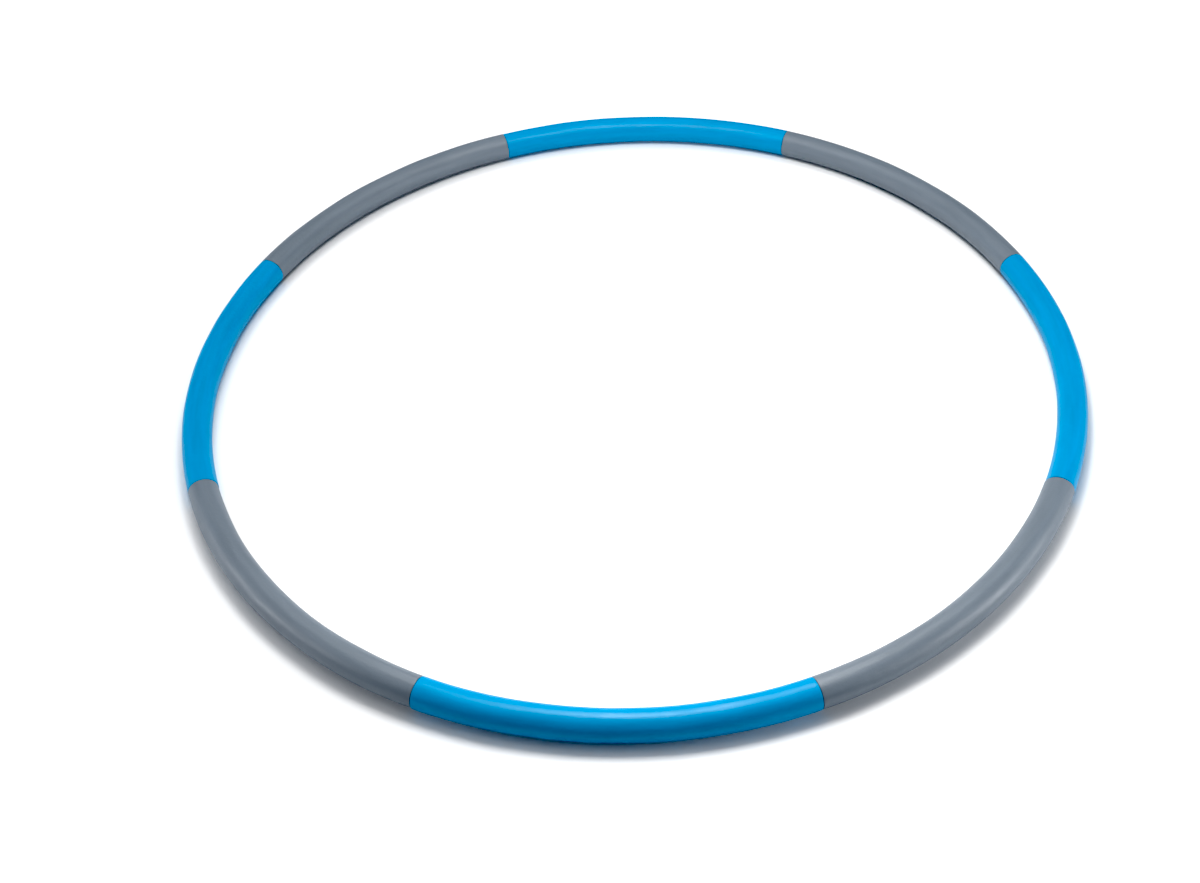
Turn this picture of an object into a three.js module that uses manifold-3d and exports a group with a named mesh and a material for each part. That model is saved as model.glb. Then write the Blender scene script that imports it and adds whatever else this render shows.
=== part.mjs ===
// Take-apart exercise hoop: eight curved sections that plug together end to end into one ring.
// A section is a steel core tube in a foam sleeve. A moulded plug, pinned in the tube's leading end,
// slides into the open end (the socket) of the next tube, where a sprung button locks it.
//
// Millimetres, +Z up. The hoop lies flat on z = 0 with its centre on the Z axis. Section 1 runs
// anticlockwise from the +X axis to 45 degrees, and the others follow it round.

import * as THREE from "three";
import { mergeVertices } from "three/addons/utils/BufferGeometryUtils.js";
import Module from "manifold-3d";

// ---- Driving dimensions -------------------------------------------------------------------------

const SECTIONS = 8;
const HOOP_DIAMETER = 1000; // over the foam
const FOAM_DIAMETER = 32;
const TUBE_DIAMETER = 20; // steel core, outside
const TUBE_WALL = 0.8;
const PLUG_REACH = 24; // of the plug into the next tube
const PLUG_HOLD = 20; // of the plug in its own tube
const BUTTON_AT = 14; // from the seam to the middle of the button
const BUTTON_RADIUS = 3.3;
const GAP = 0.3; // between pieces that touch
const FIT = 0.35; // radial room round the tube in the foam, and round the plug in the tube

// ---- Sizes that follow --------------------------------------------------------------------------

const FOAM_RADIUS = FOAM_DIAMETER / 2;
const RING_RADIUS = HOOP_DIAMETER / 2 - FOAM_RADIUS; // to the middle of the tube
const TURN = (2 * Math.PI) / SECTIONS;
const SECTION_LENGTH = RING_RADIUS * TURN;
const HALF_GAP = GAP / 2; // each side of a seam
const TUBE_RADIUS = TUBE_DIAMETER / 2;
const TUBE_BORE = TUBE_RADIUS - TUBE_WALL;
const FOAM_BORE = TUBE_RADIUS + FIT;

// The plug has a collar that stops it at its tube's end, and a nose that tapers, so that the
// straight nose slides in and out of the curved socket.
const COLLAR_LENGTH = 1.35;
const COLLAR_RADIUS = TUBE_RADIUS - GAP;
const COLLAR_BACK = HALF_GAP + COLLAR_LENGTH; // from the seam
const PLUG_RADIUS = TUBE_BORE - FIT;
const NOSE_RADIUS = PLUG_RADIUS - 1.05;
const NOSE_CHAMFER = 0.8;
const PLUG_BORE = 5.6;

// The button stands proud of the tube, in a dent in the foam.
const BUTTON_TOP = TUBE_RADIUS + 1.4; // from the middle of the tube
const BUTTON_DOME = 1.2; // height of the rounded top
const BUTTON_TOP_RADIUS = 2; // of the flat in the middle of the top
const PLUG_HOLE = BUTTON_RADIUS + 0.5;
const TUBE_HOLE = BUTTON_RADIUS + 0.7;
const DENT_RADIUS = BUTTON_RADIUS + 1.1;
const DENT_TOP = BUTTON_TOP + 0.8;

// The clip is a folded leaf spring whose upper leg carries the button.
const LEAF_THICKNESS = 0.6;
const LEAF_WIDTH = 6;
const LEAF_SPREAD = 4.1; // from the plug's middle to a leg's open end
const FOLD_RADIUS = 1.3;
const FOLD_AT = -3; // middle of the fold, from the seam
const LOWER_LEG_END = 12;
const UPPER_LEG_END = BUTTON_AT + BUTTON_RADIUS + 1.5;

// A slotted spring pin through the tube holds the plug.
const PIN_AT = -12; // from the seam
const PIN_RADIUS = 1.5;
const PIN_WALL = 0.5;
const PIN_SLOT = 0.7; // angle of the slot
const PIN_LENGTH = 19.2;

const FOAM_SIDES = 16;
const BORE_SIDES = 12;
const HOLE_SIDES = 8;
const FOLD_SIDES = 6;
const PIN_SIDES = 10;
const STEPS = 9; // straight facets along a section
const OVERSHOOT = 2; // of a cutting solid past what it cuts

// ---- Materials ----------------------------------------------------------------------------------

const BLUE_FOAM = { color: 0x0093d2, roughness: 0.5, metalness: 0 };
const GREY_FOAM = { color: 0x707d87, roughness: 0.5, metalness: 0 };
const STEEL = { color: 0xb9bcc0, roughness: 0.3, metalness: 1 };
const BLACK_NYLON = { color: 0x1c1d20, roughness: 0.45, metalness: 0 };
const SPRING_STEEL = { color: 0x8e9399, roughness: 0.25, metalness: 1 };

// ---- Joining and cutting ------------------------------------------------------------------------

const wasm = await Module();
wasm.setup();

/** A closed geometry as a solid with its faces pointing out. */
function toSolid(geometry) {
  const bare = geometry.clone();
  bare.deleteAttribute("normal");
  bare.deleteAttribute("uv");
  const merged = mergeVertices(bare);
  const vertProperties = new Float32Array(merged.attributes.position.array);
  const corners = [];
  for (let i = 0; i < merged.index.count; i += 3) {
    const [a, b, c] = [0, 1, 2].map((corner) => merged.index.getX(i + corner));
    if (a !== b && b !== c && c !== a) corners.push(a, b, c);
  }
  const triVerts = new Uint32Array(corners);
  const solid = new wasm.Manifold(new wasm.Mesh({ numProp: 3, vertProperties, triVerts }));
  if (solid.volume() > 0) return solid;
  const turnedOut = triVerts.reverse();
  return new wasm.Manifold(new wasm.Mesh({ numProp: 3, vertProperties, triVerts: turnedOut }));
}

/** A solid as a geometry with flat facets. */
function toGeometry(solid) {
  const { vertProperties, triVerts } = solid.getMesh();
  const geometry = new THREE.BufferGeometry();
  geometry.setAttribute("position", new THREE.BufferAttribute(vertProperties, 3));
  geometry.setIndex(new THREE.BufferAttribute(triVerts, 1));
  return geometry;
}

/** The solid with each cutting solid taken away. */
function cut(solid, ...cutters) {
  return cutters.reduce((rest, cutter) => rest.subtract(cutter), solid);
}

// ---- The curved tube ----------------------------------------------------------------------------

/** Bends a geometry made along +Y, with +X outwards, round the hoop in straight steps. */
function bend(geometry) {
  const position = geometry.attributes.position;
  const outwards = (step) => {
    const angle = (step / STEPS) * TURN;
    return new THREE.Vector3(Math.cos(angle), Math.sin(angle), 0);
  };
  for (let i = 0; i < position.count; i++) {
    const steps = (position.getY(i) / SECTION_LENGTH) * STEPS;
    const step = THREE.MathUtils.clamp(Math.floor(steps), 0, STEPS - 1);
    const point = outwards(step).lerp(outwards(step + 1), steps - step);
    point.multiplyScalar(RING_RADIUS + position.getX(i));
    position.setXYZ(i, point.x, point.y, FOAM_RADIUS + position.getZ(i));
  }
  return geometry;
}

/** Turned about +Y from [radius, y] points, where each radius is to the middle of a flat. */
function turned(profile, sides) {
  const corner = 1 / Math.cos(Math.PI / sides);
  const points = profile.map(([radius, y]) => new THREE.Vector2(radius * corner, y));
  return new THREE.LatheGeometry(points, sides, Math.PI / sides);
}

/** A solid bar bent along the section, with distances measured from its trailing seam. */
function bentBar(radius, sides, from, to) {
  const rows = [[0, from], [radius, from]];
  for (let step = 1; step < STEPS; step++) {
    const y = (step / STEPS) * SECTION_LENGTH;
    if (y > from && y < to) rows.push([radius, y]);
  }
  rows.push([radius, to], [0, to]);
  return toSolid(bend(turned(rows, sides)));
}

/** The frame at a seam or near it: X outwards, Y along the tube, Z up. */
function frameAt(distance) {
  const frame = new THREE.Matrix4().makeRotationZ(distance / RING_RADIUS);
  return frame.multiply(new THREE.Matrix4().makeTranslation(RING_RADIUS, 0, FOAM_RADIUS));
}

const SOCKET_BUTTON_FRAME = frameAt(BUTTON_AT);
const PLUG_FRAME = frameAt(SECTION_LENGTH);

/** A round cutter that points outwards from the tube's middle. */
function outwardCutter(radius, reach, y, frame) {
  const geometry = turned([[0, 0], [radius, 0], [radius, reach], [0, reach]], HOLE_SIDES);
  geometry.rotateZ(-Math.PI / 2).translate(0, y, 0);
  return toSolid(geometry.applyMatrix4(frame));
}

/** The hole for the pin, straight down through the tube. */
function pinCutter() {
  const reach = TUBE_RADIUS + OVERSHOOT;
  const radius = PIN_RADIUS + GAP;
  const geometry = turned([[0, -reach], [radius, -reach], [radius, reach], [0, reach]], HOLE_SIDES);
  geometry.rotateX(Math.PI / 2).translate(0, PIN_AT, 0);
  return toSolid(geometry.applyMatrix4(PLUG_FRAME));
}

// ---- The pieces of one section ------------------------------------------------------------------

function foamSleeve() {
  const sleeve = bentBar(FOAM_RADIUS, FOAM_SIDES, HALF_GAP, SECTION_LENGTH - HALF_GAP);
  const bore = bentBar(FOAM_BORE, BORE_SIDES, -OVERSHOOT, SECTION_LENGTH + OVERSHOOT);
  const dent = outwardCutter(DENT_RADIUS, DENT_TOP, 0, SOCKET_BUTTON_FRAME);
  return toGeometry(cut(sleeve, bore, dent));
}

function coreTube() {
  const end = SECTION_LENGTH - COLLAR_BACK - GAP;
  const tube = bentBar(TUBE_RADIUS, BORE_SIDES, HALF_GAP, end);
  const bore = bentBar(TUBE_BORE, BORE_SIDES, -OVERSHOOT, SECTION_LENGTH);
  const buttonHole = outwardCutter(TUBE_HOLE, BUTTON_TOP, 0, SOCKET_BUTTON_FRAME);
  return toGeometry(cut(tube, bore, buttonHole, pinCutter()));
}

function connectorPlug() {
  const held = bentBar(PLUG_RADIUS, BORE_SIDES, SECTION_LENGTH - PLUG_HOLD, SECTION_LENGTH - HALF_GAP);
  const nose = turned([
    [0, -COLLAR_BACK],
    [COLLAR_RADIUS, -COLLAR_BACK],
    [COLLAR_RADIUS, -HALF_GAP],
    [PLUG_RADIUS, -HALF_GAP],
    [NOSE_RADIUS, PLUG_REACH - NOSE_CHAMFER],
    [NOSE_RADIUS - NOSE_CHAMFER, PLUG_REACH],
    [0, PLUG_REACH],
  ], BORE_SIDES);
  const body = held.add(toSolid(nose.applyMatrix4(PLUG_FRAME)));

  const heldBore = bentBar(PLUG_BORE, BORE_SIDES, SECTION_LENGTH - PLUG_HOLD - OVERSHOOT, SECTION_LENGTH);
  const noseEnd = PLUG_REACH + OVERSHOOT;
  const noseBore = turned([[0, 0], [PLUG_BORE, 0], [PLUG_BORE, noseEnd], [0, noseEnd]], BORE_SIDES);
  const bore = heldBore.add(toSolid(noseBore.applyMatrix4(PLUG_FRAME)));
  const buttonHole = outwardCutter(PLUG_HOLE, BUTTON_TOP, BUTTON_AT, PLUG_FRAME);
  return toGeometry(cut(body, bore, buttonHole, pinCutter()));
}

/** The leaf's outline seen from above: two legs that open from a fold, half a thickness each way. */
function leafOutline() {
  const half = LEAF_THICKNESS / 2;
  const line = [[-LEAF_SPREAD, LOWER_LEG_END]];
  for (let i = 0; i <= FOLD_SIDES; i++) {
    const angle = Math.PI * (1 + i / FOLD_SIDES);
    line.push([FOLD_RADIUS * Math.cos(angle), FOLD_AT + FOLD_RADIUS * Math.sin(angle)]);
  }
  line.push([LEAF_SPREAD, BUTTON_AT - BUTTON_RADIUS], [LEAF_SPREAD, UPPER_LEG_END]);

  const points = line.map(([x, y]) => new THREE.Vector2(x, y));
  const side = (offset) => points.map((point, i) => {
    const before = points[Math.max(i - 1, 0)];
    const after = points[Math.min(i + 1, points.length - 1)];
    const way = after.clone().sub(before).normalize();
    return new THREE.Vector2(point.x - way.y * offset, point.y + way.x * offset);
  });
  return new THREE.Shape([...side(half), ...side(-half).reverse()]);
}

function snapClip() {
  const leaf = new THREE.ExtrudeGeometry(leafOutline(), { depth: LEAF_WIDTH, bevelEnabled: false });
  leaf.translate(0, 0, -LEAF_WIDTH / 2);
  const button = turned([
    [0, LEAF_SPREAD],
    [BUTTON_RADIUS, LEAF_SPREAD],
    [BUTTON_RADIUS, BUTTON_TOP - BUTTON_DOME],
    [BUTTON_TOP_RADIUS, BUTTON_TOP],
    [0, BUTTON_TOP],
  ], BORE_SIDES);
  button.rotateZ(-Math.PI / 2).translate(0, BUTTON_AT, 0);
  const clip = toSolid(leaf.applyMatrix4(PLUG_FRAME));
  return toGeometry(clip.add(toSolid(button.applyMatrix4(PLUG_FRAME))));
}

function retainingPin() {
  const section = new THREE.Shape();
  const [start, end] = [PIN_SLOT / 2, 2 * Math.PI - PIN_SLOT / 2];
  section.absarc(0, 0, PIN_RADIUS, start, end, false);
  section.absarc(0, 0, PIN_RADIUS - PIN_WALL, end, start, true);
  section.closePath();
  const pin = new THREE.ExtrudeGeometry(section, {
    depth: PIN_LENGTH,
    bevelEnabled: false,
    curveSegments: PIN_SIDES / 2, // an arc gets two for each
  });
  pin.translate(0, PIN_AT, -PIN_LENGTH / 2);
  return toGeometry(toSolid(pin.applyMatrix4(PLUG_FRAME)));
}

// ---- The hoop -----------------------------------------------------------------------------------

const PIECES = [
  ["foam_sleeve", foamSleeve(), null],
  ["core_tube", coreTube(), STEEL],
  ["connector_plug", connectorPlug(), BLACK_NYLON],
  ["snap_clip", snapClip(), SPRING_STEEL],
  ["retaining_pin", retainingPin(), SPRING_STEEL],
];

const hoop = new THREE.Group();
for (let number = 1; number <= SECTIONS; number++) {
  const section = new THREE.Group();
  section.rotation.z = (number - 1) * TURN;
  const foam = number % 2 ? BLUE_FOAM : GREY_FOAM;
  for (const [name, geometry, finish] of PIECES) {
    const mesh = new THREE.Mesh(geometry, new THREE.MeshStandardMaterial(finish ?? foam));
    mesh.name = `${name}_${number}`;
    section.add(mesh);
  }
  hoop.add(section);
}

export default hoop;
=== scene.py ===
"""Looks for the take-apart exercise hoop: foam, steel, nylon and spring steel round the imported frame.

Metres, +Z up. A point of a section is (a, s, h): a outwards from the tube's middle, s along the
section from its trailing seam, and h upwards. Section 1 starts on the +X axis, and each next
section is turned anticlockwise from the one before it.
"""

import math

import bmesh
import bpy
import numpy as np
from mathutils import Matrix, Vector, noise


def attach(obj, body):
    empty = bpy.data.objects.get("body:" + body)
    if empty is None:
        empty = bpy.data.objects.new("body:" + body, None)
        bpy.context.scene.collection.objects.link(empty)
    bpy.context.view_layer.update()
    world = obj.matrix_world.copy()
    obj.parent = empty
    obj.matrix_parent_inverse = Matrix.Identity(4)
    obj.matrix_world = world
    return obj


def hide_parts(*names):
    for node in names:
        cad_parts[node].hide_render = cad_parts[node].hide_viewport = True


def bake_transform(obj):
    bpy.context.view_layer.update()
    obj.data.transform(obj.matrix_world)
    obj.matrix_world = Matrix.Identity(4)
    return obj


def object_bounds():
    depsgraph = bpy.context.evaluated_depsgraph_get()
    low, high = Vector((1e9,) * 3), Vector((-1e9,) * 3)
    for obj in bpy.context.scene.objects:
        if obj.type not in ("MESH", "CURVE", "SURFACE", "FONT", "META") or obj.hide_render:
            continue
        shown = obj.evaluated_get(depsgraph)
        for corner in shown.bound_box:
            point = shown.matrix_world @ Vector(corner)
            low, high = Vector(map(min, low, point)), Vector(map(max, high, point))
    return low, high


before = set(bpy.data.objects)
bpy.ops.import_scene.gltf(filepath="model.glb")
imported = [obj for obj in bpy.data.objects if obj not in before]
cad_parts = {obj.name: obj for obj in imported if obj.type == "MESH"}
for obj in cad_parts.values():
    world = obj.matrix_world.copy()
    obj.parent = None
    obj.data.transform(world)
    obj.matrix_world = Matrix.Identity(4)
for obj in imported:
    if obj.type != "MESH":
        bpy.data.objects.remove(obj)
cad_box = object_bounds()

# ---- Sizes --------------------------------------------------------------------------------------

MM = 0.001
SECTIONS = sum(name.startswith("foam_sleeve_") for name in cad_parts)
TURN = 2 * math.pi / SECTIONS
FOAM_RADIUS = cad_box[1].z / 2
RING_RADIUS = cad_box[1].x - FOAM_RADIUS  # to the middle of the tube
LENGTH = RING_RADIUS * TURN  # of a section, from seam to seam
HALF_GAP = 0.15 * MM  # each side of a seam

TUBE_RADIUS = 10 * MM
TUBE_BORE = 9.2 * MM
FOAM_BORE = 10.35 * MM
COLLAR_LENGTH = 1.35 * MM
COLLAR_RADIUS = 9.7 * MM
PLUG_RADIUS = 8.85 * MM
NOSE_RADIUS = 7.8 * MM
PLUG_BORE = 5.6 * MM
PLUG_HOLD = 20 * MM
PLUG_REACH = 24 * MM
RIBS = 8
BUTTON_AT = 14 * MM
BUTTON_RADIUS = 3.3 * MM
BUTTON_TOP = 11.4 * MM
LEAF_THICKNESS = 0.6 * MM
LEAF_WIDTH = 6 * MM
LEAF_SPREAD = 4.1 * MM
FOLD_RADIUS = 1.3 * MM
FOLD_AT = -3 * MM
LOWER_LEG_END = 12 * MM
PIN_AT = -12 * MM
PIN_RADIUS = 1.5 * MM
PIN_HALF_LENGTH = 9.6 * MM
PLUG_HOLE = BUTTON_RADIUS + 0.5 * MM
TUBE_HOLE = BUTTON_RADIUS + 0.7 * MM
PIN_HOLE = PIN_RADIUS + 0.3 * MM
DENT_RADIUS = BUTTON_RADIUS + 1.1 * MM
DENT_TOP = BUTTON_TOP + 0.8 * MM

# ---- Mesh helpers -------------------------------------------------------------------------------


def place(a, s, h, straight_from=None):
    """Points of section 1 in the row frame. Past straight_from the tube runs straight on."""
    bent = s if straight_from is None else np.minimum(s, straight_from)
    angle = bent / RING_RADIUS
    rest = s - bent
    x = (RING_RADIUS + a) * np.cos(angle) - rest * np.sin(angle)
    y = (RING_RADIUS + a) * np.sin(angle) + rest * np.cos(angle)
    return np.stack([x, y, FOAM_RADIUS + h], axis=-1)


def seam_point(a, s=0.0, number=1):
    """A point near a section's leading seam, in the straight frame of its plug."""
    seam = number * TURN
    outward = Vector((math.cos(seam), math.sin(seam), 0))
    tangent = Vector((-math.sin(seam), math.cos(seam), 0))
    return outward * (RING_RADIUS + a) + tangent * s + Vector((0, 0, FOAM_RADIUS))


def mesh_of(name, points, faces):
    mesh = bpy.data.meshes.new(name)
    mesh.from_pydata(np.asarray(points).reshape(-1, 3).tolist(), [], faces)
    mesh.validate()
    return mesh


def shade(mesh, sharp_over=35):
    """Smooth faces, with edges sharper than that many degrees left sharp."""
    bm = bmesh.new()
    bm.from_mesh(mesh)
    bmesh.ops.recalc_face_normals(bm, faces=bm.faces)
    for face in bm.faces:
        face.smooth = True
    for edge in bm.edges:
        edge.smooth = len(edge.link_faces) == 2 and edge.calc_face_angle(0) < math.radians(sharp_over)
    bm.to_mesh(mesh)
    bm.free()
    return mesh


def turned_mesh(name, profile, sides, swell=None, straight_from=None):
    """A closed ring of [radius, s] points turned about the tube's middle line and bent with it."""
    profile = np.array(profile, float)
    angle = (np.arange(sides) / sides - 0.25) * 2 * math.pi
    radius = np.repeat(profile[:, :1], sides, axis=1)
    s = np.repeat(profile[:, 1:], sides, axis=1)
    if swell is not None:
        radius = radius + swell(radius, s, angle[None, :] + 0 * s)
    points = place(radius * np.cos(angle), s, radius * np.sin(angle), straight_from)
    rows = len(profile)
    faces, uvs = [], []
    for i in range(rows):
        k = (i + 1) % rows
        for j in range(sides):
            m = (j + 1) % sides
            faces.append((i * sides + j, k * sides + j, k * sides + m, i * sides + m))
            low, high = j / sides, (j + 1) / sides
            here, there = profile[i, 1], profile[k, 1]
            uvs += [(here, low), (there, low), (there, high), (here, high)]
    mesh = mesh_of(name, points, faces)
    layer = mesh.uv_layers.new(name="along")
    around = 2 * math.pi * FOAM_RADIUS
    layer.data.foreach_set("uv", np.array([(u, v * around) for u, v in uvs]).ravel())
    return mesh


def loft(name, rings):
    """A closed mesh through rings of points, with a face over each end."""
    count = len(rings[0])
    faces = []
    for i in range(len(rings) - 1):
        for j in range(count):
            k = (j + 1) % count
            faces.append((i * count + j, i * count + k, (i + 1) * count + k, (i + 1) * count + j))
    faces.append(tuple(reversed(range(count))))
    faces.append(tuple((len(rings) - 1) * count + j for j in range(count)))
    return mesh_of(name, np.concatenate(rings), faces)


def boolean(mesh, cutter, operation="DIFFERENCE"):
    """The mesh joined with another or cut by it, as a new mesh."""
    scene = bpy.context.scene.collection
    body = bpy.data.objects.new("body", mesh)
    tool = bpy.data.objects.new("tool", cutter)
    for obj in (body, tool):
        scene.objects.link(obj)
    modifier = body.modifiers.new("cut", "BOOLEAN")
    modifier.operation = operation
    modifier.object = tool
    modifier.solver = "EXACT"
    bpy.context.view_layer.update()
    evaluated = body.evaluated_get(bpy.context.evaluated_depsgraph_get())
    result = bpy.data.meshes.new_from_object(evaluated)
    result.name = mesh.name
    for obj in (body, tool):
        bpy.data.objects.remove(obj)
    return result


def cylinder(radius, start, end, sides=32):
    """A cutting cylinder between two points."""
    way = (end - start).normalized()
    across = way.orthogonal().normalized()
    other = way.cross(across)
    turns = [2 * math.pi * j / sides for j in range(sides)]
    ring = [(across * math.cos(turn) + other * math.sin(turn)) * radius for turn in turns]
    return loft("cutter", [np.array([start + p for p in ring]), np.array([end + p for p in ring])])


def quarter_round(radius, steps):
    """Offsets of a rounded edge from the side and from the end that it joins, the end's first."""
    turns = [math.pi / 2 * i / steps for i in range(steps + 1)]
    return [(radius * (1 - math.sin(turn)), radius * math.cos(turn)) for turn in turns]


# ---- Materials ----------------------------------------------------------------------------------


class Look:
    """A Principled material and its node tree, with short calls for the nodes that it uses."""

    def __init__(self, name, color, metallic=0.0, roughness=0.5, gloss=0.5):
        self.material = bpy.data.materials.new(name)
        self.material.use_nodes = True
        self.nodes = self.material.node_tree.nodes
        self.links = self.material.node_tree.links
        self.shader = self.nodes["Principled BSDF"]
        self.shader.inputs["Base Color"].default_value = (*color, 1)
        self.shader.inputs["Metallic"].default_value = metallic
        self.shader.inputs["Roughness"].default_value = roughness
        self.shader.inputs["Specular IOR Level"].default_value = gloss
        self.bumps = None

    def noise(self, source, scale, detail=3.0, stretch=(1, 1, 1)):
        """Noise in the row frame ("Object") or along the tube ("UV"); scale is in cycles a metre."""
        where = self.nodes.new("ShaderNodeTexCoord")
        mapping = self.nodes.new("ShaderNodeMapping")
        mapping.inputs["Scale"].default_value = [scale * k for k in stretch]
        texture = self.nodes.new("ShaderNodeTexNoise")
        texture.inputs["Scale"].default_value = 1
        texture.inputs["Detail"].default_value = detail
        self.links.new(where.outputs[source], mapping.inputs["Vector"])
        self.links.new(mapping.outputs["Vector"], texture.inputs["Vector"])
        return texture.outputs["Fac"]

    def cells(self, scale):
        """Distance to the walls of foam cells."""
        where = self.nodes.new("ShaderNodeTexCoord")
        mapping = self.nodes.new("ShaderNodeMapping")
        mapping.inputs["Scale"].default_value = [scale] * 3
        texture = self.nodes.new("ShaderNodeTexVoronoi")
        texture.feature = "DISTANCE_TO_EDGE"
        texture.inputs["Scale"].default_value = 1
        self.links.new(where.outputs["Object"], mapping.inputs["Vector"])
        self.links.new(mapping.outputs["Vector"], texture.inputs["Vector"])
        return texture.outputs["Distance"]

    def spread(self, value, low, high, start=0.3, end=0.7):
        """Maps a texture value from start..end to low..high."""
        node = self.nodes.new("ShaderNodeMapRange")
        for name, number in (("From Min", start), ("From Max", end), ("To Min", low), ("To Max", high)):
            node.inputs[name].default_value = number
        self.links.new(value, node.inputs["Value"])
        return node.outputs["Result"]

    def combine(self, operation, *values):
        """One value worked out from two or more, taken from left to right."""
        result = values[0]
        for value in values[1:]:
            node = self.nodes.new("ShaderNodeMath")
            node.operation = operation
            self.links.new(result, node.inputs[0])
            self.links.new(value, node.inputs[1])
            result = node.outputs["Value"]
        return result

    def roughness(self, value, low, high):
        self.links.new(self.spread(value, low, high), self.shader.inputs["Roughness"])

    def color(self, value, dark, light):
        """The base colour, mixed from two by a texture value."""
        ramp = self.nodes.new("ShaderNodeValToRGB")
        ramp.color_ramp.elements[0].position = 0.3
        ramp.color_ramp.elements[0].color = (*dark, 1)
        ramp.color_ramp.elements[1].position = 0.7
        ramp.color_ramp.elements[1].color = (*light, 1)
        self.links.new(value, ramp.inputs["Fac"])
        self.links.new(ramp.outputs["Color"], self.shader.inputs["Base Color"])

    def bump(self, value, height):
        """Adds a bump of that height in metres, or a hollow, on top of those already there."""
        node = self.nodes.new("ShaderNodeBump")
        node.inputs["Distance"].default_value = height
        self.links.new(value, node.inputs["Height"])
        if self.bumps is not None:
            self.links.new(self.bumps, node.inputs["Normal"])
        self.bumps = node.outputs["Normal"]
        self.links.new(self.bumps, self.shader.inputs["Normal"])


def shades(color, change):
    """A darker and a lighter version of a colour."""
    return [tuple(c * (1 + k) for c in color) for k in (-change, change)]


def foam_skin(name, color, gloss, roughness):
    """Closed-cell foam with a moulded satin skin: soft streaks along the tube, and a pebbled grain."""
    look = Look(name, color, gloss=gloss)
    look.color(look.noise("UV", 14, 4.0, (1, 9, 1)), *shades(color, 0.06))
    look.roughness(look.noise("UV", 22, 3.0, (1, 6, 1)), roughness - 0.06, roughness + 0.06)
    look.bump(look.noise("Object", 110, 2.0), 0.25 * MM)
    look.bump(look.noise("Object", 380, 2.0), 0.14 * MM)
    look.bump(look.noise("Object", 1300, 3.0), 0.09 * MM)
    look.bump(look.cells(900), 0.05 * MM)
    return look.material


def foam_cut(name, color):
    """The sawn end of the foam, where the open cells show, with painted shade darkening the cell hollows and
    the cell walls painted lighter.
    """
    look = Look(name, color, roughness=0.85)
    # Painted shade: the cell hollows are coloured darker and the walls between them lighter; the same mask
    # also sinks the hollows as a bump.
    hollows_and_painted_shade = look.spread(look.cells(1500), 0, 1, 0.05, 0.4)
    look.color(hollows_and_painted_shade, tuple(c * 1.1 for c in color), shades(color, 0.45)[0])
    look.bump(look.noise("Object", 420, 3.0), 0.2 * MM)
    look.bump(hollows_and_painted_shade, -0.22 * MM)
    return look.material


def drawn_steel(name):
    """Bright drawn tube with fine lines along it."""
    look = Look(name, (0.56, 0.565, 0.575), metallic=1, roughness=0.3)
    lines = look.noise("UV", 30, 4.0, (1, 60, 1))
    look.roughness(lines, 0.22, 0.4)
    look.bump(lines, 0.01 * MM)
    return look.material


def nylon(name):
    """Black moulded nylon with a faint grain."""
    look = Look(name, (0.06, 0.06, 0.063), roughness=0.45)
    look.color(look.noise("Object", 260, 3.0), (0.052, 0.052, 0.055), (0.07, 0.07, 0.073))
    look.roughness(look.noise("Object", 500, 3.0), 0.4, 0.56)
    look.bump(look.noise("Object", 2500, 3.0), 0.02 * MM)
    return look.material


def spring_steel(name):
    """Tempered strip with a slightly mottled satin surface."""
    look = Look(name, (0.42, 0.43, 0.45), metallic=1, roughness=0.28)
    look.color(look.noise("Object", 300, 4.0), (0.36, 0.37, 0.39), (0.5, 0.505, 0.51))
    look.roughness(look.noise("Object", 900, 4.0), 0.18, 0.36)
    look.bump(look.noise("Object", 3500, 2.0), 0.006 * MM)
    return look.material


BLUE = (0.0, 0.265, 0.52)
GREY = (0.165, 0.193, 0.222)
FOAMS = {
    "foam_blue": [foam_skin("blue_foam_skin", BLUE, 0.4, 0.44), foam_cut("blue_foam_cut", BLUE)],
    "foam_grey": [foam_skin("grey_foam_skin", GREY, 0.65, 0.5), foam_cut("grey_foam_cut", GREY)],
}
STEEL = drawn_steel("drawn_steel")
NYLON = nylon("black_nylon")
SPRING = spring_steel("tempered_steel")

# ---- Pieces of a section ------------------------------------------------------------------------

FOAM_SIDES = 88
FOAM_STEP = 2.6 * MM
EDGE_ROUND = 0.45 * MM
SLOW_LENGTH, SLOW_DEPTH = 70 * MM, 0.42 * MM  # the foam's unevenness
QUICK_LENGTH, QUICK_DEPTH = 26 * MM, 0.1 * MM


def socket_cutter(radius, reach):
    """A round cutter from the tube's middle outwards, where the button of the section before comes."""
    return cylinder(radius, Vector(place(0.0, BUTTON_AT, 0.0)), Vector(place(reach, BUTTON_AT, 0.0)))


def pin_cutter():
    """The hole for the pin, straight down through tube and plug."""
    middle = seam_point(0.0, PIN_AT)
    reach = Vector((0, 0, 1.2 * TUBE_RADIUS))
    return cylinder(PIN_HOLE, middle - reach, middle + reach, 24)


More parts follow.
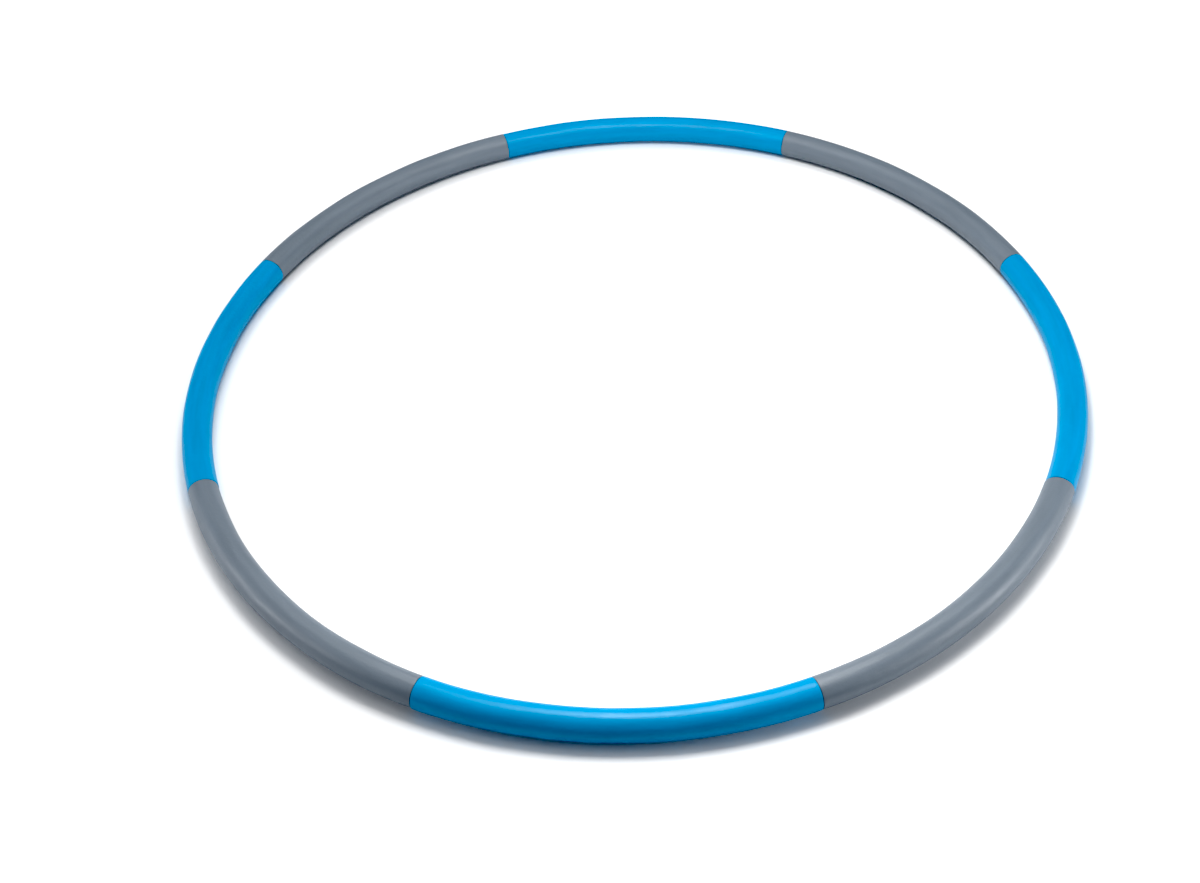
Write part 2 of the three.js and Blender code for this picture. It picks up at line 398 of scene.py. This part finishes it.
def foam_mesh(number):
    """A sleeve of slightly uneven foam with softly rounded ends, cut square at its seams."""
    first, last = HALF_GAP, LENGTH - HALF_GAP
    cut_radii = np.linspace(FOAM_BORE, FOAM_RADIUS - EDGE_ROUND, 6)[:-1]
    start, end = first + EDGE_ROUND, last - EDGE_ROUND
    edge = quarter_round(EDGE_ROUND, 4)
    steps = round((end - start) / FOAM_STEP)
    rows = [(r, first) for r in cut_radii]
    rows += [(FOAM_RADIUS - drop, start - back) for drop, back in edge]
    rows += [(FOAM_RADIUS, start + (end - start) * i / steps) for i in range(1, steps)]
    rows += [(FOAM_RADIUS - drop, end + back) for drop, back in edge[::-1]]
    rows += [(r, last) for r in cut_radii[::-1]]
    bore_steps = 24
    rows += [(FOAM_BORE, last + (first - last) * i / bore_steps) for i in range(1, bore_steps)]

    def swell(radius, s, angle):
        """Slow unevenness of the foam's outside, fading to nothing at its bore."""
        out = np.zeros_like(radius)
        for i, j in zip(*np.nonzero(radius > FOAM_BORE + 0.1 * MM)):
            across = Vector((math.cos(angle[i, j]), math.sin(angle[i, j]), 0))
            along = s[i, j]
            spot = Vector((along / SLOW_LENGTH, across.x * 0.8, across.y * 0.8 + 7.3 * number))
            slow = SLOW_DEPTH * noise.noise(spot)
            spot = Vector((along / QUICK_LENGTH, across.x * 1.7 + 3.1, across.y * 1.7 - 5.7 * number))
            quick = QUICK_DEPTH * noise.noise(spot)
            share = (radius[i, j] - FOAM_BORE) / (FOAM_RADIUS - FOAM_BORE)
            out[i, j] = share * (slow + quick)
        return out

    mesh = turned_mesh("foam", rows, FOAM_SIDES, swell)
    points = np.zeros(len(mesh.vertices) * 3, np.float32)
    mesh.vertices.foreach_get("co", points)
    points = points.reshape(-1, 3)
    points[:, 2] = np.clip(points[:, 2], 0, 2 * FOAM_RADIUS)
    mesh.vertices.foreach_set("co", points.ravel())
    for polygon in mesh.polygons:
        row = polygon.index // FOAM_SIDES
        s = [rows[row][1], rows[(row + 1) % len(rows)][1]]
        polygon.material_index = int(max(s) <= first + 1e-9 or min(s) >= last - 1e-9)
    return shade(boolean(mesh, socket_cutter(DENT_RADIUS, DENT_TOP)), 50)


def tube_mesh():
    """The curved steel tube, with the button's hole near one end and the pin's near the other."""
    first, last = HALF_GAP, LENGTH - HALF_GAP - COLLAR_LENGTH - 0.3 * MM
    break_edge = 0.15 * MM
    steps = 64
    outer = [(TUBE_RADIUS - break_edge, first), (TUBE_RADIUS, first + break_edge)]
    outer += [(TUBE_RADIUS, first + (last - first) * i / steps) for i in range(1, steps)]
    outer += [(TUBE_RADIUS, last - break_edge), (TUBE_RADIUS - break_edge, last)]
    inner = [(TUBE_BORE + break_edge, last), (TUBE_BORE, last - break_edge)]
    inner += [(TUBE_BORE, last + (first - last) * i / steps) for i in range(1, steps)]
    inner += [(TUBE_BORE, first + break_edge), (TUBE_BORE + break_edge, first)]
    mesh = turned_mesh("core_tube", outer + inner, 48)
    mesh = boolean(mesh, socket_cutter(TUBE_HOLE, TUBE_RADIUS + 2 * MM))
    return shade(boolean(mesh, pin_cutter()))


def plug_mesh():
    """The moulded plug: a bent shank, a collar, and a straight ribbed nose with a hole for the button."""
    shank, nose = LENGTH - PLUG_HOLD, LENGTH + PLUG_REACH
    collar = (LENGTH - HALF_GAP - COLLAR_LENGTH, LENGTH - HALF_GAP)
    corner, chamfer, nose_round = 0.25 * MM, 0.8 * MM, 1.2 * MM
    groove_depth, groove_fade = 0.28 * MM, 1 * MM
    rows = [(PLUG_RADIUS - chamfer, shank), (PLUG_RADIUS, shank + chamfer)]
    rows += [(PLUG_RADIUS, shank + (collar[0] - shank) * i / 10) for i in range(1, 10)]
    rows += [
        (PLUG_RADIUS, collar[0]),
        (COLLAR_RADIUS - corner, collar[0]),
        (COLLAR_RADIUS, collar[0] + corner),
        (COLLAR_RADIUS, collar[1] - corner),
        (COLLAR_RADIUS - corner, collar[1]),
        (PLUG_RADIUS, collar[1]),
    ]
    taper_end = nose - nose_round
    taper_steps, round_steps = 40, 5
    for i in range(1, taper_steps):
        share = i / taper_steps
        radius = PLUG_RADIUS + (NOSE_RADIUS - PLUG_RADIUS) * share
        rows.append((radius, collar[1] + (taper_end - collar[1]) * share))
    for i in range(round_steps + 1):
        turn = math.pi / 2 * i / round_steps
        radius = NOSE_RADIUS - nose_round * (1 - math.cos(turn))
        rows.append((radius, taper_end + nose_round * math.sin(turn)))
    rows += [(PLUG_BORE + corner, nose), (PLUG_BORE, nose - corner)]
    rows += [(PLUG_BORE, nose - corner + (shank - nose + 2 * corner) * i / 20) for i in range(1, 20)]
    rows += [(PLUG_BORE, shank + corner), (PLUG_BORE + corner, shank)]

    def ribs(radius, s, angle):
        """Shallow grooves that leave eight broad ribs along the nose."""
        rib = np.clip((np.cos(RIBS * angle) + 0.55) / 0.25, 0, 1)
        from_collar = (s - collar[1] - 1 * MM) / groove_fade
        from_nose = (taper_end - 3 * MM - s) / groove_fade
        ends = np.clip(from_collar, 0, 1) * np.clip(from_nose, 0, 1)
        outside = radius > PLUG_BORE + 1 * MM
        return -groove_depth * (1 - rib) * ends * outside

    mesh = turned_mesh("connector_plug", rows, 96, ribs, straight_from=LENGTH)
    hole = cylinder(PLUG_HOLE, seam_point(0.0, BUTTON_AT), seam_point(12 * MM, BUTTON_AT))
    mesh = boolean(mesh, hole)
    return shade(boolean(mesh, pin_cutter()))


def between(start, end, steps):
    """Points in even steps from one (a, s) point to another."""
    return [tuple(start[k] + (end[k] - start[k]) * i / steps for k in (0, 1)) for i in range(steps + 1)]


def clip_mesh():
    """The folded leaf spring, with its formed button joined to the upper leg."""
    leg_end = BUTTON_AT - BUTTON_RADIUS
    tip = BUTTON_AT + BUTTON_RADIUS + 1.5 * MM
    leg_steps, fold_steps = 12, 16
    line = between((-LEAF_SPREAD, LOWER_LEG_END), (-FOLD_RADIUS, FOLD_AT), leg_steps)
    for i in range(1, fold_steps):
        turn = math.pi * (1 + i / fold_steps)
        line.append((FOLD_RADIUS * math.cos(turn), FOLD_AT + FOLD_RADIUS * math.sin(turn)))
    line += between((FOLD_RADIUS, FOLD_AT), (LEAF_SPREAD, leg_end), leg_steps)
    line += between((LEAF_SPREAD, leg_end), (LEAF_SPREAD, tip), leg_steps)[1:]
    line = np.array(line)
    length = np.concatenate([[0], np.cumsum(np.linalg.norm(np.diff(line, axis=0), axis=1))])
    way = np.gradient(line, axis=0)
    way /= np.linalg.norm(way, axis=1)[:, None]
    half_t, half_w = LEAF_THICKNESS / 2, LEAF_WIDTH / 2
    half_section = [(-1, 0.93), (-0.6, 1), (0.6, 1), (1, 0.93)]
    section = [(half_t * x, -y) for x, y in half_section] + [(half_t * x, y) for x, y in half_section[::-1]]
    end_round, least_width = 0.6 * half_w, 0.12
    rings = []
    for (a, s), (da, ds), d in zip(line, way, length):
        to_end = min(d, length[-1] - d)
        width = half_w * math.sqrt(max(1 - (1 - min(to_end / end_round, 1)) ** 2, least_width))
        ring = [seam_point(a + ds * t, s - da * t) + Vector((0, 0, width * w)) for t, w in section]
        rings.append(np.array(ring))
    return shade(boolean(loft("snap_clip", rings), button_mesh(), "UNION"), 40)


def button_mesh():
    """The formed button: a filleted foot on the leaf, a straight side and a domed top."""
    foot, fillet, dome, crown = LEAF_SPREAD + LEAF_THICKNESS / 2, 0.7 * MM, 1.5 * MM, 0.06 * MM
    shoulder = BUTTON_TOP - crown - 0.8 * dome
    profile = [(0.02 * MM, LEAF_SPREAD), (BUTTON_RADIUS + fillet, LEAF_SPREAD)]
    for i in range(6):
        turn = math.pi / 2 * i / 5
        profile.append((BUTTON_RADIUS + fillet * (1 - math.sin(turn)), foot + fillet * (1 - math.cos(turn))))
    for i in range(13):
        turn = math.pi / 2 * i / 12
        profile.append((BUTTON_RADIUS - dome * (1 - math.cos(turn)), shoulder + 0.8 * dome * math.sin(turn)))
    for share in (0.75, 0.5, 0.25, 0.01):
        profile.append(((BUTTON_RADIUS - dome) * share, BUTTON_TOP - crown * share**2))
    turns = [2 * math.pi * j / 40 for j in range(40)]
    rings = []
    for radius, a in profile:
        ring = [(BUTTON_AT + radius * math.cos(turn), radius * math.sin(turn)) for turn in turns]
        rings.append(np.array([seam_point(a, s) + Vector((0, 0, h)) for s, h in ring]))
    return loft("button", rings)


def pin_mesh():
    """A slotted spring pin with bevelled ends."""
    half_slot = 0.35  # radians
    wall, bevel, steepness = 0.5 * MM, 0.35 * MM, 0.7
    angles = np.linspace(half_slot, 2 * math.pi - half_slot, 36)
    middle = seam_point(0.0, PIN_AT)
    outward, tangent = seam_point(1.0) - seam_point(0.0), seam_point(0.0, 1.0) - seam_point(0.0)
    rings = []
    for z, inset in ((-1, bevel), (-1, 0), (1, 0), (1, bevel)):
        height = z * (PIN_HALF_LENGTH - (0 if inset else bevel))
        outer = [(PIN_RADIUS - inset * steepness, t) for t in angles]
        inner = [(PIN_RADIUS - wall, t) for t in angles[::-1]]
        rings.append(np.array([
            middle + outward * (r * math.cos(t)) + tangent * (r * math.sin(t)) + Vector((0, 0, height))
            for r, t in outer + inner
        ]))
    return shade(loft("retaining_pin", rings))


# ---- The hoop -----------------------------------------------------------------------------------


def add(name, mesh, materials, number):
    """A piece of one section: section 1's mesh turned to its place, as an object of its own."""
    mesh = mesh.copy()
    mesh.name = name
    mesh.transform(Matrix.Rotation((number - 1) * TURN, 4, "Z"))
    for material in materials:
        mesh.materials.append(material)
    piece = bpy.data.objects.new(name, mesh)
    bpy.context.scene.collection.objects.link(piece)
    return piece


tube, plug, clip, pin = tube_mesh(), plug_mesh(), clip_mesh(), pin_mesh()
for number in range(1, SECTIONS + 1):
    section, button = f"section_{number}", f"button_{number}"
    slot = "foam_blue" if number % 2 else "foam_grey"
    foam = add(f"foam_{number}", foam_mesh(number), FOAMS[slot], number)
    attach(foam, section)
    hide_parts(f"foam_sleeve_{number}")
    for kind, mesh, material, slot, node in (
        ("tube", tube, STEEL, "core_steel", "core_tube"),
        ("plug", plug, NYLON, "plug_nylon", "connector_plug"),
        ("pin", pin, SPRING, "spring_steel", "retaining_pin"),
    ):
        piece = add(f"{kind}_{number}", mesh, [material], number)
        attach(piece, section)
        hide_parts(f"{node}_{number}")
    spring = add(f"clip_{number}", clip, [SPRING], number)
    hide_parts(f"snap_clip_{number}")
    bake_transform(spring)

# ---- Stage, light and camera --------------------------------------------------------------------

CAMERA_AZIMUTH = 25.55
CAMERA_ELEVATION = 44.63
CAMERA_ROLL = 2.34  # clockwise
CAMERA_DISTANCE = 1.722
CAMERA_AIM = Vector((0.0744, -0.1043, 0.0161))
LENS = 48.3
SHIFT = (-0.0468, 0.0058)
FLOOR_HALF = 30
COOL_WHITE = (0.95, 0.97, 1)


def add_stage():
    """A wide white floor with a painted glow that makes it brighter away from the hoop and leaves none in a
    band round the hoop.

    The glow is only for the picture: it puts no light on the hoop.
    """
    look = Look("stage_white", (0.87, 0.875, 0.88), roughness=0.9)
    look.color(look.noise("Object", 3, 2.0), (0.86, 0.865, 0.87), (0.88, 0.885, 0.89))
    where = look.nodes.new("ShaderNodeTexCoord")
    reach = look.nodes.new("ShaderNodeVectorMath")
    reach.operation = "LENGTH"
    look.links.new(where.outputs["Object"], reach.inputs[0])
    distance = reach.outputs["Value"]
    # Painted glow: emission by distance from the hoop's middle, none close round the hoop, and only camera
    # rays see it.
    inside = look.spread(distance, 0.35, 0, RING_RADIUS - 40 * MM, RING_RADIUS - FOAM_RADIUS)
    near = look.spread(distance, 0, 0.2, RING_RADIUS + 22 * MM, RING_RADIUS + 76 * MM)
    far = look.spread(distance, 0, 0.4, RING_RADIUS + 76 * MM, RING_RADIUS + 420 * MM)
    edge = look.spread(distance, 0, 0.5, RING_RADIUS + 420 * MM, RING_RADIUS + 900 * MM)
    painted_glow = look.combine("ADD", inside, near, far, edge)
    seen = look.nodes.new("ShaderNodeLightPath").outputs["Is Camera Ray"]
    look.shader.inputs["Emission Color"].default_value = (1, 1, 1, 1)
    look.links.new(look.combine("MULTIPLY", painted_glow, seen), look.shader.inputs["Emission Strength"])
    signs = ((-1, -1), (1, -1), (1, 1), (-1, 1))
    corners = [(x * FLOOR_HALF, y * FLOOR_HALF, 0) for x, y in signs]
    mesh = mesh_of("stage_floor", corners, [(0, 1, 2, 3)])
    mesh.materials.append(look.material)
    floor = bpy.data.objects.new("stage_floor", mesh)
    bpy.context.scene.collection.objects.link(floor)


def seen_from_camera(right, away, height):
    """A point given to the right of the hoop's middle, away from the camera, and above the floor."""
    return Matrix.Rotation(math.radians(CAMERA_AZIMUTH), 4, "Z") @ Vector((right, away, height))


def add_light(name, spot, aim, size, power, spread=180, color=(1, 1, 1), shines=True):
    """A softbox at one point as seen from the camera, aimed at another. A grid narrows its spread.

    A light that doesn't shine adds no reflection of its own, only soft light.
    """
    data = bpy.data.lights.new(name, "AREA")
    data.shape = "RECTANGLE"
    data.size, data.size_y = size
    data.energy = power
    data.color = color
    data.spread = math.radians(spread)
    light = bpy.data.objects.new(name, data)
    light.location = seen_from_camera(*spot)
    light.rotation_euler = (light.location - seen_from_camera(*aim)).to_track_quat("Z", "Y").to_euler()
    light.visible_glossy = shines
    bpy.context.scene.collection.objects.link(light)


def add_camera():
    turn, rise = math.radians(CAMERA_AZIMUTH - 90), math.radians(CAMERA_ELEVATION)
    way = Vector((math.cos(turn) * math.cos(rise), math.sin(turn) * math.cos(rise), math.sin(rise)))
    data = bpy.data.cameras.new("camera")
    data.sensor_width = 36
    data.lens = LENS
    data.shift_x, data.shift_y = SHIFT
    camera = bpy.data.objects.new("camera", data)
    level = way.to_track_quat("Z", "Y").to_matrix().to_4x4()
    camera.matrix_world = (
        Matrix.Translation(CAMERA_AIM + way * CAMERA_DISTANCE)
        @ level
        @ Matrix.Rotation(-math.radians(CAMERA_ROLL), 4, "Z")
    )
    bpy.context.scene.collection.objects.link(camera)
    bpy.context.scene.camera = camera


def add_world():
    """Faint cool light from all round, behind which the studio's wall shows white."""
    world = bpy.data.worlds.new("studio")
    world.use_nodes = True
    nodes, links = world.node_tree.nodes, world.node_tree.links
    faint = nodes["Background"]
    faint.inputs["Color"].default_value = (0.8, 0.88, 1, 1)
    faint.inputs["Strength"].default_value = 0.05
    wall = nodes.new("ShaderNodeBackground")
    wall.inputs["Color"].default_value = (1, 1, 1, 1)
    wall.inputs["Strength"].default_value = 1.1
    path = nodes.new("ShaderNodeLightPath")
    mix = nodes.new("ShaderNodeMixShader")
    links.new(path.outputs["Is Camera Ray"], mix.inputs[0])
    links.new(faint.outputs["Background"], mix.inputs[1])
    links.new(wall.outputs["Background"], mix.inputs[2])
    links.new(mix.outputs["Shader"], nodes["World Output"].inputs["Surface"])
    bpy.context.scene.world = world


add_stage()
add_light("key_front", (0.03, 0.02, 0.95), (0.03, -0.48, 0), (0.36, 0.36), 2.0, spread=75)
add_light("key_back", (0.03, 0.15, 0.95), (0.03, 0.48, 0), (0.36, 0.36), 2.1, spread=110)
add_light("top_soft", (-0.25, 0.25, 2.2), (0, 0, 0), (2.0, 1.6), 16, shines=False)
add_light("back_soft", (-0.35, 1.7, 1.6), (0, 0, 0), (1.6, 1.0), 26, shines=False)
add_light("fill_right", (0.3, 0, 0.95), (0.52, 0, 0), (0.4, 0.4), 0.55, spread=70, shines=False)
add_light("fill_left", (-0.3, 0, 0.95), (-0.56, -0.06, 0), (0.4, 0.4), 0.28, spread=70, shines=False)
add_light("side_right", (1.45, -0.6, 0.36), (0, -0.1, 0), (0.8, 0.4), 12.5, color=COOL_WHITE)
add_light("side_left", (-1.5, -0.34, 0.42), (0, -0.1, 0), (0.8, 0.4), 8.5, color=COOL_WHITE)
add_camera()
add_world()

view = bpy.context.scene.view_settings
view.view_transform = "Standard"
view.use_curve_mapping = True
view.curve_mapping.black_level = (0.066, 0.062, 0.055)
view.curve_mapping.update()
